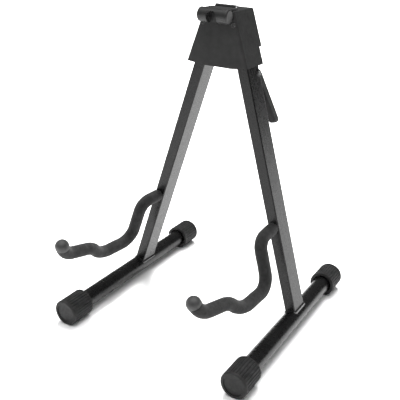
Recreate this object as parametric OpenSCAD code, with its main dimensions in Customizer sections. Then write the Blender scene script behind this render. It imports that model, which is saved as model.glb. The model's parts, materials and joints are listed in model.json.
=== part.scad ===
// Folding A-frame guitar stand: two legs hinged in a head, each on a floor tube with a cradle arm.
// Millimetres. X runs from the left leg to the right leg, the guitar stands on the -Y side, Z is up.

/* [Frame] */
// Distance between the centres of the two floor tubes
foot_spacing = 260; // [250:1:270]
// Lean of each leg towards the middle, in degrees from upright
splay = 16.9; // [16.5:0.1:17.3]
// Width of the rectangular leg tube, across the stand
leg_width = 15; // [14:0.5:15.5]
// Depth of the rectangular leg tube, front to back
leg_depth = 30; // [28:1:32]
// Wall of the leg tube
leg_wall = 1.5; // [1.2:0.1:1.8]
// Diameter of the floor tube
floor_tube_d = 24; // [22:1:26]
// Reach of the floor tube and its cap in front of the leg
floor_front = 179; // [160:1:200]
// Reach of the floor tube and its cap behind the leg
floor_rear = 132; // [110:1:150]

/* [End caps] */
// Diameter of the rubber end cap
cap_d = 36; // [34:1:37]
// Length of the rubber end cap
cap_length = 37; // [32:1:42]
// Number of lengthwise flutes round a cap
cap_flutes = 30; // [16:1:36]

/* [Cradle arms] */
// Distance up the leg from the floor tube's centre to the arm's root
arm_height = 132; // [125:1:140]
// Downward slope of the arm where it leaves the leg
arm_droop = 6; // [0:1:8]
// Turn of both arms towards the left of the stand
arm_turn = 6; // [0:1:8]
// Diameter of the steel rod in the arm
rod_d = 9; // [8:0.5:10]
// Outside diameter of the foam sleeve
foam_d = 17.4; // [16:0.1:18]
// Diameter of the rubber dome at the arm's tip
tip_d = 18.4; // [17:0.1:19]

/* [Head] */
// Height of the head's top face
head_top = 413; // [410:1:416]
// Height of the head's bottom edge in the middle
head_bottom = 345; // [343:1:348]
// Width of the head across its top
head_top_width = 41; // [39:1:42]
// Width of the head across its bottom
head_bottom_width = 88; // [86:1:90]
// Reach of the head in front of the legs' centre plane
head_front = 26; // [25:1:28]
// Reach of the head's upper part behind the legs' centre plane
head_rear = 26; // [25:1:28]
// Wall of the head's plastic covers
head_wall = 2.4; // [2:0.1:2.6]
// Distance up the leg from the floor tube's centre to the fold pivot
pivot_height = 383; // [381:1:384]
// Teeth on a full circle of the meshing leg gears
gear_teeth = 22; // [20:1:24]

/* [Back rest] */
// Diameter of the rubber rest bar
rest_d = 17.6; // [16:0.2:18]
// Length of the rubber rest bar
rest_length = 41; // [36:1:44]
// Width of the finger notch in the rest bar
notch_width = 14; // [10:1:16]

/* [Hidden] */
$fn = 96;

// Height of the floor tubes' centres: each cap has a narrow flat moulded under it.
cap_flat = 0.3;
axis_z = cap_d / 2 - cap_flat;
floor_tube_wall = 1.5;
cap_end_wall = 3;

// Cradle arm: each row is a straight length, then the radius and the turn of the bend after it.
arm_bends = [[19, 16.5, -82], [30, 21, 86], [25, 40, 46], [3, 32, -32], [28, 28, 57]];
tip_skirt = 2.5;
rod_in_tip = 3;
rod_in_leg = 8;
arm_start = [leg_depth / 2, arm_height];
function along(p, heading, d) = p + d * [cos(heading), sin(heading)];
function bend_end(p, heading, r, turn) =
    p + r * sign(turn) * [sin(heading + turn) - sin(heading), cos(heading) - cos(heading + turn)];
function heading_at(i) = i == 0 ? -arm_droop : heading_at(i - 1) + arm_bends[i - 1][2];
function point_at(i) =
    i == 0 ? arm_start
    : bend_end(along(point_at(i - 1), heading_at(i - 1), arm_bends[i - 1][0]),
               heading_at(i - 1), arm_bends[i - 1][1], arm_bends[i - 1][2]);
bend_count = len(arm_bends);
arm_end = point_at(bend_count);
arm_end_heading = heading_at(bend_count);
dome_centre = along(arm_end, arm_end_heading, tip_skirt);

// The origin is on the floor under the middle of the whole stand, front to back and side to side.
arm_reach = dome_centre[0] * cos(arm_turn) + tip_d / 2;
leg_y = (arm_reach - floor_rear) / 2;

// Fold pivots and the gears that make both legs fold together.
pivot_x = foot_spacing / 2 - pivot_height * sin(splay);
pivot_z = axis_z + pivot_height * cos(splay);
pivot_r = 4;
running_gap = 0.05;
gear_module = 2 * pivot_x / gear_teeth;
gear_half_width = 6;
gear_backlash = 0.25;
pressure_angle = 20;
eye_r = 6.5;
tube_top = 362;
knuckle_bottom = 338;
knuckle_half_depth = 13.2;
knuckle_rear = 2;
rivet_heights = [343, 355];
rivet_y = -6;
rivet_r = 1.6;

// Head covers: half-width of the head at a height, and where its parts meet.
side_slope = (head_bottom_width - head_top_width) / 2 / (head_top - head_bottom);
function half_width(z) = head_top_width / 2 + (head_top - z) * side_slope;
corner_rise = 2.7;
parting_y = 10;
lower_rear = 18;
step_z = 368;
edge_r = 2.5;
inner_r = 1.5;

// Back rest: a bar on a frame that is hinged across the top of the head.
hinge_y = -8;
hinge_z = 415;
hinge_r = 3;
hinge_pin_r = 1.5;
hinge_half = 14;
lug_width = 4.7;
hinge_gap = 0.3;
rest_y = -35;
rest_z = 407.3;

// Lock lever at the back of the right leg, in the leg's own frame: [back from the centre, up].
lever_pivot = [12, 331];
lever_pin_r = 2.2;
lever_top = [18, 331];
lever_foot = [42.1, 265];
lever_half = 5.2;
boss_half = 3;
boss_r = 5;
tongue_half = 2.4;
tongue_top = [5.2, 365.8];
tongue_thick = 3;
catch_low = 368;
catch_high = 371;

// ---- Frames ----

// Places children in the stand's frame, where the legs stand at leg_y.
module stand() translate([0, leg_y, 0]) children();

// side is -1 for the left half of the stand and 1 for the right half.
module half(side) stand() mirror([side < 0 ? 1 : 0, 0, 0]) children();

// The leg's own frame: x outwards, y backwards, z up along the leg from the floor tube's centre.
module on_leg(side) half(side) translate([foot_spacing / 2, 0, axis_z]) rotate([0, -splay, 0]) children();

// A shaft along y from y0 to y1.
module y_rod(r, y0, y1) translate([0, y0, 0]) rotate([-90, 0, 0]) cylinder(h = y1 - y0, r = r);

// A shaft along x from x0 to x1.
module x_rod(r, x0, x1) translate([x0, 0, 0]) rotate([0, 90, 0]) cylinder(h = x1 - x0, r = r);

// A rectangle with round corners, drawn as exact arcs.
module round_rect(w, d, r) {
    square([w - 2 * r, d], center = true);
    square([w, d - 2 * r], center = true);
    for (sx = [-1, 1]) for (sy = [-1, 1]) translate([sx * (w / 2 - r), sy * (d / 2 - r)]) circle(r);
}

// ---- Floor tubes and caps ----

module base_tube(side) color("#141414") half(side) translate([foot_spacing / 2, 0, axis_z])
    difference() {
        y_rod(floor_tube_d / 2, -floor_front + cap_end_wall, floor_rear - cap_end_wall);
        y_rod(floor_tube_d / 2 - floor_tube_wall, -floor_front, floor_rear);
    }

// Cap profile: radius against distance from the outer end face, which has a shallow dish in it.
module cap_profile() {
    r = cap_d / 2;
    dish_r = r - 4.5;
    dish_depth = 1.2;
    edge = 2.5;
    mouth_r = floor_tube_d / 2 + 2.2;
    mouth_depth = 5;
    difference() {
        union() {
            translate([0, edge]) square([r, cap_length - edge]);
            square([r - edge, cap_length]);
            translate([r - edge, edge]) circle(edge);
        }
        square([2 * dish_r, 2 * dish_depth], center = true);
        translate([0, cap_end_wall]) square([floor_tube_d / 2, cap_length]);
        translate([0, cap_length - mouth_depth]) square([mouth_r, cap_length]);
    }
}

// Rubber cap, its end face at y = 0 and its mouth towards +y.
module end_cap() color("#1c1c1c") difference() {
    flute_r = 1.15;
    flute_out = 0.25;
    flute_start = 3.2;
    flute_margin = 2;
    rotate([-90, 0, 0]) rotate_extrude() cap_profile();
    for (i = [0 : cap_flutes - 1]) rotate([0, i * 360 / cap_flutes, 0])
        translate([cap_d / 2 + flute_out, 0, 0]) y_rod(flute_r, flute_start, cap_length - flute_margin);
    translate([-cap_d, -1, -cap_d - axis_z]) cube([2 * cap_d, cap_length + 2, cap_d]);
}

module front_cap(side) half(side) translate([foot_spacing / 2, -floor_front, axis_z]) end_cap();

module rear_cap(side) half(side) translate([foot_spacing / 2, floor_rear, axis_z])
    mirror([0, 1, 0]) end_cap();

// ---- Legs ----

corner_r = 1.6;
module leg_section(grow = 0)
    round_rect(leg_width + 2 * grow, leg_depth + 2 * grow, corner_r + grow);

// Opening in the back wall of the right leg, where the lever passes through.
module lever_slot() {
    slot_low = 318;
    slot_high = 338;
    slot_half = leg_width / 2 - leg_wall;
    translate([-slot_half, leg_depth / 2 - 2 * leg_wall, slot_low])
        cube([2 * slot_half, 3 * leg_wall, slot_high - slot_low]);
    translate([0, lever_pivot[0], lever_pivot[1]]) x_rod(lever_pin_r, -leg_width, leg_width);
}

module rivet_shafts(half_length) for (z = rivet_heights)
    translate([0, rivet_y, z]) x_rod(rivet_r, -half_length, half_length);

module leg_tube(side) color("#101010") on_leg(side) difference() {
    foot_z = 4;
    translate([0, 0, foot_z]) linear_extrude(tube_top - foot_z) leg_section();
    linear_extrude(tube_top + 1) leg_section(-leg_wall);
    y_rod(floor_tube_d / 2, -leg_depth, leg_depth);
    arm_frame(side)
        straight(along(arm_start, heading_at(0), -rod_in_leg), heading_at(0), rod_in_leg + 1, rod_d / 2);
    rivet_shafts(leg_width);
    if (side > 0) lever_slot();
}

// Weld bead round the foot of the leg, on the saddle of the floor tube.
module weld(side) color("#181818") on_leg(side) {
    bead = 1.8;
    intersection() {
        difference() {
            linear_extrude(floor_tube_d) leg_section(bead);
            linear_extrude(floor_tube_d + 1) leg_section();
        }
        difference() {
            y_rod(floor_tube_d / 2 + bead, -leg_depth, leg_depth);
            y_rod(floor_tube_d / 2, -leg_depth - 1, leg_depth + 1);
        }
    }
}

// ---- Cradle arms ----

// Children are drawn in the arm's plane: x forwards from the leg, y up along the leg.
module arm_frame(side) rotate([0, 0, -side * arm_turn]) rotate([90, 0, -90]) children();

module straight(p, heading, d, r)
    translate([p[0], p[1], 0]) rotate([0, 0, heading]) x_rod(r, 0, d);

module bend(p, heading, bend_r, turn, r) {
    middle = p + bend_r * sign(turn) * [-sin(heading), cos(heading)];
    first = turn > 0 ? heading - 90 : heading + 90 + turn;
    translate([middle[0], middle[1], 0]) rotate([0, 0, first])
        rotate_extrude(angle = abs(turn)) translate([bend_r, 0]) circle(r);
}

// A tube along the whole arm: root reaches back past the leg's face, tail goes on past the last bend.
// Each straight runs a little way into bends that are a hair fatter, so no two surfaces are tangent.
module arm_path(r, root, tail) {
    lap = 0.5;
    swell = 0.04;
    for (i = [0 : bend_count - 1]) {
        heading = heading_at(i);
        back = i == 0 ? root : lap;
        corner = along(point_at(i), heading, arm_bends[i][0]);
        straight(along(point_at(i), heading, -back), heading, back + arm_bends[i][0] + lap, r);
        bend(corner, heading, arm_bends[i][1], arm_bends[i][2], r + swell);
    }
    if (tail > 0) straight(along(arm_end, arm_end_heading, -lap), arm_end_heading, lap + tail, r);
}

module rod_shape(side) on_leg(side) arm_frame(side) arm_path(rod_d / 2, rod_in_leg, rod_in_tip);

module arm_rod(side) color("#303030") rod_shape(side);

// Foam sleeve, its root cut flush with the leg's front face.
module arm_foam(side) color("#202020") difference() {
    sleeve_root = 3;
    on_leg(side) arm_frame(side) arm_path(foam_d / 2, sleeve_root, 0);
    rod_shape(side);
    on_leg(side) translate([-leg_depth, -leg_depth / 2, arm_height - leg_depth]) cube(2 * leg_depth);
}

// Rubber dome pushed on to the rod's end: a short skirt, then a half ball.
module arm_tip(side) color("#2a2a2a") on_leg(side) arm_frame(side)
    translate([arm_end[0], arm_end[1], 0]) rotate([0, 0, arm_end_heading]) rotate([0, 90, 0])
        rotate_extrude() difference() {
            union() {
                square([tip_d / 2, tip_skirt]);
                intersection() {
                    translate([0, tip_skirt]) circle(tip_d / 2);
                    square([tip_d, tip_d]);
                }
            }
            square([rod_d / 2, rod_in_tip]);
        }

// ---- Knuckles: the nylon tops of the legs, with the fold pivot's eye and gear ----

base_circle = pivot_x * cos(pressure_angle);
gear_tip = pivot_x + gear_module;
gear_root = pivot_x - 1.25 * gear_module;
function involute(r) = let (a = acos(min(1, base_circle / r))) tan(a) * 180 / PI - a;
function half_tooth(r) =
    90 / gear_teeth - gear_backlash / 4 / pivot_x * 180 / PI + involute(pivot_x) - involute(r);
flank_radii = [gear_root, base_circle, (base_circle + pivot_x) / 2, pivot_x,
               (pivot_x + gear_tip) / 2, gear_tip];
function tooth(a) = concat(
    [for (r = flank_radii) r * [cos(a - half_tooth(r)), sin(a - half_tooth(r))]],
    [for (i = [len(flank_radii) - 1 : -1 : 0]) let (r = flank_radii[i])
        r * [cos(a + half_tooth(r)), sin(a + half_tooth(r))]]);

// The stretch of gear that meshes over the whole fold, centred on the pivot, teeth towards -x.
module gear_sector(phase) {
    high = 180 - splay;
    low = 180 + 2 * splay;
    far = 2 * gear_tip;
    intersection() {
        polygon([for (i = [0 : gear_teeth - 1]) each tooth(phase + i * 360 / gear_teeth)]);
        polygon([[0, 0], far * [cos(high), sin(high)], [-far, 0], far * [cos(low), sin(low)]]);
    }
}

module knuckle(side) color("#cfcabd") on_leg(side) difference() {
    plug_gap = 0.1;
    plug_half = leg_width / 2 - leg_wall - plug_gap;
    neck_half = 5;
    neck_depth = knuckle_half_depth + knuckle_rear;
    phase = side > 0 ? 180 / gear_teeth : 0;
    union() {
        translate([-plug_half, -knuckle_half_depth, knuckle_bottom])
            cube([2 * plug_half, neck_depth, tube_top - knuckle_bottom]);
        translate([-neck_half, -knuckle_half_depth, tube_top - 1])
            cube([2 * neck_half, neck_depth, pivot_height - tube_top + 1]);
        translate([0, 0, pivot_height]) {
            y_rod(eye_r, -knuckle_half_depth, knuckle_half_depth);
            rotate([0, splay, 0]) rotate([90, 0, 0])
                linear_extrude(2 * gear_half_width, center = true) gear_sector(phase);
        }
    }
    translate([0, 0, pivot_height]) y_rod(pivot_r + running_gap, -leg_depth, leg_depth);
    rivet_shafts(leg_width);
}

// Rivets that hold a knuckle in its leg tube, with low round heads.
module knuckle_rivets(side) color("#8a8a8a") on_leg(side) {
    head_r = 2.8;
    head_height = 0.6;
    rivet_shafts(leg_width / 2);
    for (z = rivet_heights) for (s = [-1, 1]) translate([s * leg_width / 2, rivet_y, z])
        x_rod(head_r, min(0, s * head_height), max(0, s * head_height));
}

// ---- Head ----

// A solid block in the head's outer form, shrunk by inset, reaching back to y = rear.
module head_block(inset, r, rear) {
    lean = (inset + r) / cos(atan(side_slope));
    hull() for (z = [head_bottom - leg_depth, head_top - inset - r])
        for (y = [-head_front + inset + r, rear - r])
            for (sx = [-1, 1])
                translate([sx * (half_width(z) - lean), y, z]) sphere(r, $fn = 32);
}

// Everything under the head's bottom edge, which rises towards the outer corners.
module below_head() {
    flat_half = 20;
    slope = corner_rise / (head_bottom_width / 2 - flat_half);
    far = head_bottom_width;
    far_z = head_bottom + slope * (far - flat_half);
    deep = head_bottom - 2 * head_bottom_width;
    rotate([90, 0, 0]) linear_extrude(4 * head_front, center = true)
        polygon([[-far, far_z], [-flat_half, head_bottom], [flat_half, head_bottom], [far, far_z],
                 [far, deep], [-far, deep]]);
}

// Everything behind the plane y.
module behind(y) translate([-head_bottom_width, y, 0])
    cube([2 * head_bottom_width, 4 * head_rear, 2 * head_top]);

// Everything above the height z.
module above(z) translate([-head_bottom_width, -2 * head_rear, z])
    cube([2 * head_bottom_width, 4 * head_rear, head_top]);

// Places children at both fold pivots.
module at_pivots() for (s = [-1, 1]) translate([s * pivot_x, 0, pivot_z]) children();

screw_r = 1.8;
cover_screw_length = 24;
screw_places = [[0, 356], [-10, 404], [10, 404]];
front_screw_place = [21.2, 397];
plate_front = -16.4;
plate_rear = -14.4;
washer_r = 6.5;
boss_rear = 14.4;

module hinge_lugs() for (s = [-1, 1]) {
    start = s > 0 ? hinge_half - lug_width : -hinge_half;
    difference() {
        union() {
            translate([0, hinge_y, hinge_z]) x_rod(hinge_r, start, start + lug_width);
            translate([start, hinge_y - hinge_r, head_top - head_wall])
                cube([lug_width, 2 * hinge_r, hinge_z - head_top + head_wall]);
        }
        translate([0, hinge_y, hinge_z]) x_rod(hinge_pin_r, -hinge_half - 1, hinge_half + 1);
    }
}

// The catch for the lever's tongue: a plate across the right leg's rest place, slotted to the rear.
module catch_shape() {
    inner_end = -7;
    outer_end = 10.8;
    plate_y = [2.6, 8.2];
    slot_front = 3.4;
    slot_half = tongue_half + 0.2;
    difference() {
        translate([inner_end, plate_y[0], catch_low])
            cube([outer_end - inner_end, plate_y[1] - plate_y[0], catch_high - catch_low]);
        translate([-slot_half, slot_front, catch_low - 1]) cube([2 * slot_half, leg_depth, leg_depth]);
    }
}

module catch_plate() color("#9a9a9a") on_leg(1) catch_shape();

module front_cover() color("#26262a") {
    boss_r = 6;
    screw_boss_r = 4;
    in_wall = 1;
    stand() difference() {
        union() {
            difference() {
                head_block(0, edge_r, head_rear);
                head_block(head_wall, inner_r, head_rear + 2 * inner_r);
            }
            at_pivots() y_rod(boss_r, in_wall - head_front, plate_front);
            for (p = screw_places) translate([p[0], 0, p[1]])
                y_rod(screw_boss_r, in_wall - head_front, parting_y);
            hinge_lugs();
        }
        below_head();
        behind(parting_y);
        at_pivots() y_rod(pivot_r, -head_front + head_wall, 0);
        for (p = screw_places) translate([p[0], 0, p[1]])
            y_rod(screw_r, -head_front + head_wall, parting_y);
        for (s = [-1, 1]) translate([s * front_screw_place[0], 0, front_screw_place[1]])
            y_rod(screw_r, -2 * head_front, 0);
        // Room for the back rest's hinge knuckle to turn in.
        translate([0, hinge_y, hinge_z])
            x_rod(hinge_r + hinge_gap, lug_width - hinge_half, hinge_half - lug_width);
        translate([0, -leg_y, 0]) on_leg(1) catch_shape();
    }
}

module rear_cover() color("#242428") stand() {
    boss_r = 10;
    head_recess_r = 8.2;
    recess_y = 18;
    lower_wall = 2.2;
    difference() {
        head_block(0, edge_r, head_rear);
        // The cavity: deep behind the pivots, shallow behind the legs.
        difference() {
            head_block(head_wall, inner_r, head_rear - head_wall);
            at_pivots() y_rod(boss_r, boss_rear, head_rear);
            difference() {
                behind(lower_rear - lower_wall);
                above(step_z + head_wall);
            }
        }
        // The lower part is flatter than the upper part.
        difference() {
            behind(lower_rear);
            above(step_z);
        }
        below_head();
        mirror([0, 1, 0]) behind(-parting_y);
        at_pivots() y_rod(pivot_r, 0, 2 * head_rear);
        at_pivots() y_rod(head_recess_r, recess_y, 2 * head_rear);
        for (p = screw_places) translate([p[0], 0, p[1]]) y_rod(screw_r, 0, 2 * head_rear);
    }
}

// A pan head screw lying along +y: its head's underside at y = 0 and its shank towards -y.
module pan_screw(shank) difference() {
    head_r = 3.2;
    head_height = 1.6;
    socket_r = 1.5;
    lap = 0.1;
    union() {
        y_rod(screw_r, -shank, lap);
        rotate([-90, 0, 0]) cylinder(h = head_height, r1 = head_r, r2 = head_r - 0.8);
    }
    translate([0, head_height / 2, 0]) rotate([-90, 0, 0]) cylinder(h = head_height, r = socket_r, $fn = 6);
}

module cover_screws() color("#3a3a3a") stand() for (p = screw_places)
    translate([p[0], p[1] < step_z ? lower_rear : head_rear, p[1]]) pan_screw(cover_screw_length);

module front_screws() color("#9a9a9a") stand() for (s = [-1, 1])
    translate([s * front_screw_place[0], -head_front, front_screw_place[1]])
        mirror([0, 1, 0]) pan_screw(head_front + plate_rear);

// Steel plate behind the front wall that both pivot bolts and the front screws go through.
module pivot_plate() color("#8f8f8f") stand() {
    low_z = pivot_z - 8;
    high_z = front_screw_place[1] + 3;
    clear = head_wall / cos(atan(side_slope)) + 0.3;
    difference() {
        translate([0, plate_rear, 0]) rotate([90, 0, 0]) linear_extrude(plate_rear - plate_front)
            polygon([[-half_width(low_z) + clear, low_z], [half_width(low_z) - clear, low_z],
                     [half_width(high_z) - clear, high_z], [-half_width(high_z) + clear, high_z]]);
        at_pivots() y_rod(pivot_r, -head_front, 0);
        for (s = [-1, 1]) translate([s * front_screw_place[0], 0, front_screw_place[1]])
            y_rod(screw_r, -head_front, 0);
    }
}

// Hexagon-head pivot bolt, put in from behind.
module pivot_bolt(side) color("#a5a5a5") half(side) translate([pivot_x, 0, pivot_z]) {
    hex_r = 7.5;
    seat_y = 18;
    hex_height = 4.5;
    y_rod(pivot_r, -head_front + head_wall, seat_y + 1);
    translate([0, seat_y, 0]) rotate([-90, 0, 0]) cylinder(h = hex_height, r = hex_r, $fn = 6);
}

// Thin washers either side of each knuckle's eye.
module pivot_washers() color("#d8d8d0") stand() at_pivots() {
    for (span = [[plate_rear, -knuckle_half_depth - running_gap],
                 [knuckle_half_depth + running_gap, boss_rear]])
        difference() {
            y_rod(washer_r, span[0], span[1]);
            y_rod(pivot_r, span[0] - 1, span[1] + 1);
        }
}

// ---- Back rest ----

// Plate and core of the back rest, hinged at the top of the head.
module rest_frame_shape() {
    knuckle_half = hinge_half - lug_width - hinge_gap;
    plate_half = 18;
    plate_z = [head_top + 0.4, head_top + 2.2];
    plate_y = [rest_y + 5, hinge_y - hinge_r - 0.5];
    core_inner = notch_width / 2 + 1;
    core_r = 4;
    difference() {
        union() {
            translate([0, hinge_y, hinge_z]) x_rod(hinge_r, -knuckle_half, knuckle_half);
            translate([-knuckle_half, plate_y[1] - 1, plate_z[0]])
                cube([2 * knuckle_half, hinge_y - plate_y[1] + 1, plate_z[1] - plate_z[0]]);
            translate([-plate_half, plate_y[0], plate_z[0]])
                cube([2 * plate_half, plate_y[1] - plate_y[0], plate_z[1] - plate_z[0]]);
            translate([-plate_half, plate_y[0] - 3, rest_z])
                cube([2 * plate_half, 3.1, plate_z[1] - rest_z]);
            for (s = [-1, 1]) translate([0, rest_y, rest_z])
                x_rod(core_r, s > 0 ? core_inner : -plate_half, s > 0 ? plate_half : -core_inner);
        }
        translate([0, hinge_y, hinge_z]) x_rod(hinge_pin_r + running_gap, -hinge_half, hinge_half);
    }
}

module rest_frame() color("#222226") stand() rest_frame_shape();

// Rubber bar with round ends and an arched finger notch in its front.
module rest_pad() color("#2c2c30") stand() difference() {
    r = rest_d / 2;
    end_r = 2;
    half_length = rest_length / 2;
    notch_r = notch_width / 2;
    notch_z = rest_z - 1.3;
    translate([0, rest_y, rest_z]) rotate([0, 90, 0]) rotate_extrude() {
        translate([0, -half_length]) square([r - end_r, rest_length]);
        translate([0, end_r - half_length]) square([r, rest_length - 2 * end_r]);
        for (y = [-1, 1]) translate([r - end_r, y * (half_length - end_r)]) circle(end_r);
    }
    translate([0, 0, notch_z]) y_rod(notch_r, rest_y - 2 * r, rest_y + 2);
    translate([-notch_r, rest_y - 2 * r, notch_z - 2 * r]) cube([notch_width, 2 * r + 2, 2 * r]);
    rest_frame_shape();
}

module rest_hinge_pin() color("#a8a8a8") stand() translate([0, hinge_y, hinge_z])
    x_rod(hinge_pin_r, -hinge_half, hinge_half);

// ---- Lock lever ----

// A plate of the given half-thickness, its outline drawn as [back, up] in the leg's frame.
module side_plate(half_thick) rotate([90, 0, 90]) linear_extrude(2 * half_thick, center = true) children();

tongue_lean = atan2(lever_pivot[0] - tongue_top[0], tongue_top[1] - lever_pivot[1]);
tongue_length = norm(tongue_top - lever_pivot);
tongue_start = lever_pin_r + 1;
module tongue_shape() translate([0, lever_pivot[0], lever_pivot[1]]) rotate([tongue_lean, 0, 0])
    translate([-tongue_half, -tongue_thick / 2, tongue_start])
        cube([2 * tongue_half, tongue_thick, tongue_length - tongue_start]);

module lever_body() color("#1a1a1c") on_leg(1) difference() {
    grip_top_r = 5.2;
    grip_foot_r = 4.4;
    leg_gap = 0.6;
    end_round = 4.6;
    grip_low = lever_foot[1] - grip_foot_r - 0.4;
    grip_high = lever_top[1] + grip_top_r + 0.4;
    union() {
        intersection() {
            side_plate(lever_half) hull() {
                translate(lever_top) circle(grip_top_r);
                translate(lever_foot) circle(grip_foot_r);
            }
            translate([-leg_width, leg_depth / 2 + leg_gap, 0])
                cube([2 * leg_width, 2 * leg_depth, head_top]);
            // Seen from behind the grip is a long bar with round ends.
            translate([0, 0, (grip_low + grip_high) / 2]) rotate([90, 0, 0])
                linear_extrude(4 * leg_depth, center = true)
                    round_rect(2 * lever_half, grip_high - grip_low, end_round);
        }
        side_plate(boss_half) hull() {
            translate(lever_pivot) circle(boss_r);
            translate(lever_top) circle(boss_r);
        }
    }
    translate([0, lever_pivot[0], lever_pivot[1]]) x_rod(lever_pin_r + running_gap, -leg_width, leg_width);
    tongue_shape();
}

module latch_tongue() color("#9c9c9c") on_leg(1) tongue_shape();

// Pin through the leg's side walls, with a round dished head at each end.
module lever_pin() color("#c0c0c0") on_leg(1) translate([0, lever_pivot[0], lever_pivot[1]])
difference() {
    head_r = 4;
    head_height = 1.2;
    dish_r = 2.2;
    dish_floor = 0.3;
    half_length = leg_width / 2 + head_height;
    union() {
        x_rod(lever_pin_r, -leg_width / 2, leg_width / 2);
        for (s = [-1, 1]) translate([s * leg_width / 2, 0, 0])
            x_rod(head_r, min(0, s * head_height), max(0, s * head_height));
    }
    x_rod(dish_r, leg_width / 2 + dish_floor, half_length + 1);
    x_rod(dish_r, -half_length - 1, -leg_width / 2 - dish_floor);
}

// Torsion spring round the pin beside the lever's boss: one tail on the leg, one on the lever.
module lever_spring() color("#b0b0b0") on_leg(1) translate([0, lever_pivot[0], lever_pivot[1]]) {
    wire_r = 0.4;
    tail_r = 0.35;
    coil_r = lever_pin_r + 0.1 + wire_r;
    coil_x = [boss_half + 0.6, boss_half + 1.5];
    leg_tail = 9;
    lever_tail = 3;
    for (x = coil_x) translate([x, 0, 0]) rotate([0, 90, 0])
        rotate_extrude() translate([coil_r, 0]) circle(wire_r);
    translate([0, coil_r, 0]) x_rod(tail_r, coil_x[0], coil_x[1]);
    translate([coil_x[0], -coil_r, 0]) cylinder(h = leg_tail, r = tail_r);
    translate([coil_x[1], 0, -coil_r]) y_rod(tail_r, 0, lever_tail);
}

base_tube(-1);  // base_tube_left
base_tube(1);  // base_tube_right
front_cap(-1);  // front_cap_left
front_cap(1);  // front_cap_right
rear_cap(-1);  // rear_cap_left
rear_cap(1);  // rear_cap_right
leg_tube(-1);  // leg_tube_left
leg_tube(1);  // leg_tube_right
weld(-1);  // weld_left
weld(1);  // weld_right
arm_rod(-1);  // arm_rod_left
arm_rod(1);  // arm_rod_right
arm_foam(-1);  // arm_foam_left
arm_foam(1);  // arm_foam_right
arm_tip(-1);  // arm_tip_left
arm_tip(1);  // arm_tip_right
knuckle(-1);  // knuckle_left
knuckle(1);  // knuckle_right
knuckle_rivets(-1);  // knuckle_rivets_left
knuckle_rivets(1);  // knuckle_rivets_right
front_cover();
rear_cover();
cover_screws();
front_screws();
pivot_plate();
pivot_bolt(-1);  // pivot_bolt_left
pivot_bolt(1);  // pivot_bolt_right
pivot_washers();
catch_plate();
rest_frame();
rest_pad();
rest_hinge_pin();
lever_body();
latch_tongue();
lever_pin();
lever_spring();
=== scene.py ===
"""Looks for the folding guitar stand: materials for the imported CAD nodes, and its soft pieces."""

import json
import math

import bmesh
import bpy
from mathutils import Matrix, Vector, noise


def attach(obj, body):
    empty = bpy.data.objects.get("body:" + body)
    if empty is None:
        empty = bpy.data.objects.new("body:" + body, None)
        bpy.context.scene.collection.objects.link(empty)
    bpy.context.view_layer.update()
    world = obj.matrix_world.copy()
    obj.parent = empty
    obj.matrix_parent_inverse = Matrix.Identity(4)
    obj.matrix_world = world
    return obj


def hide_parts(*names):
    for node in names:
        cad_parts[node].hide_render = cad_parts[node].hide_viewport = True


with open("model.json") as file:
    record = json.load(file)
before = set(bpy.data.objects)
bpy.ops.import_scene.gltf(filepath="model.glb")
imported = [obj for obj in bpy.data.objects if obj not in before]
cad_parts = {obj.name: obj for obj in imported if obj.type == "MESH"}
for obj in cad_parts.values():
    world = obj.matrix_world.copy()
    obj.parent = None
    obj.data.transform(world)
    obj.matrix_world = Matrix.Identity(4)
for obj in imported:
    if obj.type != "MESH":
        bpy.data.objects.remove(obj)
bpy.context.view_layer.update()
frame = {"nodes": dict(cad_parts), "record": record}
MM = 0.001
NOISE_MIDDLE = (0.3, 0.7)
nodes = frame["nodes"]


# ---- Materials ----

def linked(tree, kind, **inputs):
    """Adds a shader node and sets its inputs: a socket is linked, and anything else is a value."""
    node = tree.nodes.new(kind)
    for name, value in inputs.items():
        socket = node.inputs[name.replace("_", " ")]
        if isinstance(value, bpy.types.NodeSocket):
            tree.links.new(value, socket)
        else:
            socket.default_value = value
    return node


def noise_at(tree, size, detail=3.0, stretch=(1, 1, 1)):
    """Noise whose features are about size metres across, in the object's own coordinates."""
    place = tree.nodes.new("ShaderNodeTexCoord").outputs["Object"]
    mapping = linked(tree, "ShaderNodeMapping", Vector=place, Scale=stretch)
    made = linked(tree, "ShaderNodeTexNoise", Vector=mapping.outputs["Vector"], Scale=1 / size, Detail=detail)
    return made.outputs["Fac"]


def spread(tree, factor, low, high):
    """Maps the middle of a noise on to the range from low to high."""
    node = linked(tree, "ShaderNodeMapRange", Value=factor)
    node.inputs["From Min"].default_value = NOISE_MIDDLE[0]
    node.inputs["From Max"].default_value = NOISE_MIDDLE[1]
    node.inputs["To Min"].default_value = low
    node.inputs["To Max"].default_value = high
    return node.outputs["Result"]


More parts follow.
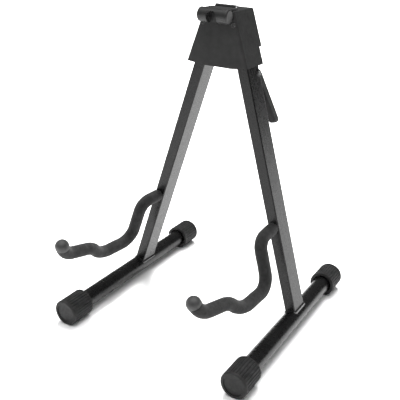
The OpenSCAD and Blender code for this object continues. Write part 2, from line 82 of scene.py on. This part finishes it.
def surface(
        name, dark, light, rough, grain, bump,
        blotch=18 * MM, detail=3.0, wave=None, stretch=(1, 1, 1), **fixed):
    """A material: colour and roughness wander over blotches, and a fine grain makes the bump.

    dark and light are colours, rough a range, grain a size in metres, and bump its depth in metres.
    wave is a second, wider bump as (size, depth). fixed sets the shader's own sockets."""
    material = bpy.data.materials.new(name)
    material.use_nodes = True
    tree = material.node_tree
    shader = tree.nodes["Principled BSDF"]
    for key, value in fixed.items():
        shader.inputs[key.replace("_", " ")].default_value = value
    patches = noise_at(tree, blotch)
    mix = tree.nodes.new("ShaderNodeMix")
    mix.data_type = "RGBA"
    mix.inputs["A"].default_value = (*dark, 1)
    mix.inputs["B"].default_value = (*light, 1)
    tree.links.new(spread(tree, patches, 0, 1), mix.inputs["Factor"])
    tree.links.new(mix.outputs["Result"], shader.inputs["Base Color"])
    tree.links.new(spread(tree, noise_at(tree, blotch / 3, 4.0), *rough), shader.inputs["Roughness"])
    height = noise_at(tree, grain, detail, stretch)
    fine = linked(tree, "ShaderNodeBump", Height=height, Strength=1.0, Distance=bump)
    if wave:
        wide = noise_at(tree, wave[0], 1.0)
        broad = linked(tree, "ShaderNodeBump", Height=wide, Strength=1.0, Distance=wave[1])
        tree.links.new(broad.outputs["Normal"], fine.inputs["Normal"])
    tree.links.new(fine.outputs["Normal"], shader.inputs["Normal"])
    return material


def grey(value, warm=0.0):
    return (value * (1 + warm), value, value * (1 - warm))


enamel = surface(
    "gloss_black_enamel", grey(0.003), grey(0.005), (0.24, 0.32), 1.6 * MM, 0.001 * MM,
    wave=(14 * MM, 0.006 * MM), IOR=1.36)
bead_enamel = surface(
    "weld_enamel", grey(0.009), grey(0.016), (0.12, 0.3), 1.6 * MM, 0.25 * MM, blotch=5 * MM, IOR=1.6)
cap_rubber = surface(
    "cap_rubber", grey(0.009), grey(0.020), (0.5, 0.7), 0.35 * MM, 0.03 * MM, blotch=9 * MM, IOR=1.35)
arm_foam = surface(
    "arm_foam", grey(0.008), grey(0.017), (0.78, 0.95), 0.55 * MM, 0.09 * MM, blotch=7 * MM, detail=5.0,
    wave=(4 * MM, 0.2 * MM), IOR=1.35, Sheen_Weight=0.1, Sheen_Roughness=0.5)
tip_rubber = surface(
    "tip_rubber", grey(0.020), grey(0.034), (0.46, 0.6), 0.4 * MM, 0.02 * MM, blotch=6 * MM)
head_plastic = surface(
    "head_plastic", grey(0.013), grey(0.019), (0.52, 0.64), 0.28 * MM, 0.03 * MM, blotch=14 * MM, detail=4.0,
    IOR=1.3)
rest_rubber = surface(
    "rest_rubber", grey(0.010), grey(0.018), (0.34, 0.46), 0.5 * MM, 0.012 * MM, blotch=8 * MM, IOR=1.38)
lever_plastic = surface(
    "lever_plastic", grey(0.009), grey(0.015), (0.5, 0.62), 0.3 * MM, 0.03 * MM, blotch=9 * MM, detail=4.0,
    IOR=1.3)
nylon = surface(
    "natural_nylon", grey(0.56, 0.05), grey(0.66, 0.04), (0.35, 0.5), 0.5 * MM, 0.02 * MM,
    Subsurface_Weight=0.15, Subsurface_Scale=2 * MM)
zinc = surface(
    "zinc_plate", grey(0.34, 0.01), grey(0.46, 0.02), (0.3, 0.48), 0.35 * MM, 0.012 * MM, blotch=4 * MM,
    stretch=(1, 6, 1), Metallic=1.0)
black_screw = surface(
    "black_oxide", grey(0.02), grey(0.04), (0.35, 0.5), 0.3 * MM, 0.012 * MM, blotch=3 * MM, Metallic=0.5)
polished = surface(
    "polished_steel", grey(0.40), grey(0.52), (0.16, 0.3), 0.3 * MM, 0.006 * MM, blotch=3 * MM, Metallic=1.0)
spring_wire = surface(
    "spring_wire", grey(0.42), grey(0.55), (0.2, 0.35), 0.2 * MM, 0.006 * MM, blotch=2 * MM,
    stretch=(1, 1, 8), Metallic=1.0)

FINISHES = {
    "frame_enamel": enamel,
    "weld_enamel": bead_enamel,
    "cap_rubber": cap_rubber,
    "rod_steel": enamel,
    "arm_foam": arm_foam,
    "tip_rubber": tip_rubber,
    "knuckle_nylon": nylon,
    "head_plastic": head_plastic,
    "rest_rubber": rest_rubber,
    "lever_plastic": lever_plastic,
    "washer_nylon": nylon,
    "zinc_steel": zinc,
    "black_screw": black_screw,
    "pin_steel": polished,
    "spring_steel": spring_wire,
}


def dress(piece, material):
    piece.data.materials.clear()
    piece.data.materials.append(material)


for part in frame["record"]["subparts"]:
    dress(nodes[part["node"]], FINISHES[part["material_slot"]])


# ---- Soft pieces ----

def foam_sleeve(side):
    """The sleeve on one cradle arm: the CAD sleeve remeshed, softened and given foam's small lumps."""
    voxel = 1.3 * MM
    lump_size = 6 * MM
    lump_depth = 0.18 * MM
    lump_middle = 0.4
    source = nodes["arm_foam_" + side]
    mesh = source.data.copy()
    piece = bpy.data.objects.new("foam_sleeve_" + side, mesh)
    bpy.context.scene.collection.objects.link(piece)
    remesh = piece.modifiers.new("remesh", "REMESH")
    remesh.mode = "VOXEL"
    remesh.voxel_size = voxel
    smooth = piece.modifiers.new("smooth", "SMOOTH")
    smooth.factor = 0.5
    smooth.iterations = 3
    shown = piece.evaluated_get(bpy.context.evaluated_depsgraph_get())
    piece.data = bpy.data.meshes.new_from_object(shown)
    piece.modifiers.clear()
    piece.data.update()
    for vertex in piece.data.vertices:
        vertex.co += vertex.normal * lump_depth * (noise.noise(vertex.co / lump_size) - lump_middle)
    piece.data.shade_smooth()
    dress(piece, arm_foam)
    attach(piece, side + "_leg")
    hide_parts(source.name)


for side in ("left", "right"):
    foam_sleeve(side)


# ---- Floor, light and camera ----

def floor():
    reach = 6.0
    mesh = bpy.data.meshes.new("floor")
    corners = [(-reach, -reach, 0), (reach, -reach, 0), (reach, reach, 0), (-reach, reach, 0)]
    mesh.from_pydata(corners, [], [(0, 1, 2, 3)])
    piece = bpy.data.objects.new("floor", mesh)
    bpy.context.scene.collection.objects.link(piece)
    paper = surface(
        "floor_paper", grey(0.86), grey(0.88), (0.6, 0.7), 2 * MM, 0.01 * MM, blotch=200 * MM)
    dress(piece, paper)


def softbox(name, place, aim, size, watts, mirrored=True):
    """An area lamp. One that isn't mirrored lights the floor but makes no highlight on the stand."""
    light = bpy.data.lights.new(name, "AREA")
    light.shape = "RECTANGLE"
    light.size, light.size_y = size
    light.energy = watts
    lamp = bpy.data.objects.new(name, light)
    bpy.context.scene.collection.objects.link(lamp)
    lamp.location = place
    lamp.rotation_euler = (Vector(aim) - Vector(place)).to_track_quat("-Z", "Y").to_euler()
    lamp.visible_glossy = mirrored


def studio():
    """A wide lamp overhead, a weak one on the left, and two that only brighten the floor behind."""
    sky_strength = 0.14
    bpy.context.scene.view_settings.view_transform = "Standard"
    world = bpy.data.worlds.new("studio")
    bpy.context.scene.world = world
    world.use_nodes = True
    back = world.node_tree.nodes["Background"]
    back.inputs["Color"].default_value = (1, 1, 1, 1)
    back.inputs["Strength"].default_value = sky_strength
    middle = (0, 0, 0.2)
    softbox("top", (0.3, -0.5, 3.0), middle, (3.6, 3.6), 115)
    softbox("key", (-1.8, -0.6, 1.3), middle, (1.9, 1.9), 9)
    softbox("behind", (-0.6, 1.5, 4.6), (-0.6, 1.3, 0), (2.6, 2.0), 300, mirrored=False)
    softbox("far", (-3.2, 5.0, 6.5), (-2.6, 4.6, 0), (4.0, 2.5), 1500, mirrored=False)


def camera():
    """The view: azimuth to the right of the front, elevation, roll, and a lens for a 36 mm sensor."""
    azimuth, elevation, roll = (math.radians(a) for a in (30.81, 23.90, 2.22))
    place = Vector((387.1, -667.8, 509.05)) * MM
    lens = 56.68
    back = Vector((
        math.sin(azimuth) * math.cos(elevation), -math.cos(azimuth) * math.cos(elevation), math.sin(elevation)))
    across = Vector((math.cos(azimuth), math.sin(azimuth), 0))
    up = back.cross(across)
    right = math.cos(roll) * across + math.sin(roll) * up
    turned = Matrix((right, back.cross(right), back)).transposed().to_4x4()
    view = bpy.data.cameras.new("camera")
    view.lens = lens
    view.sensor_width = 36
    holder = bpy.data.objects.new("camera", view)
    bpy.context.scene.collection.objects.link(holder)
    holder.matrix_world = Matrix.Translation(place) @ turned
    bpy.context.scene.camera = holder


floor()
studio()
camera()
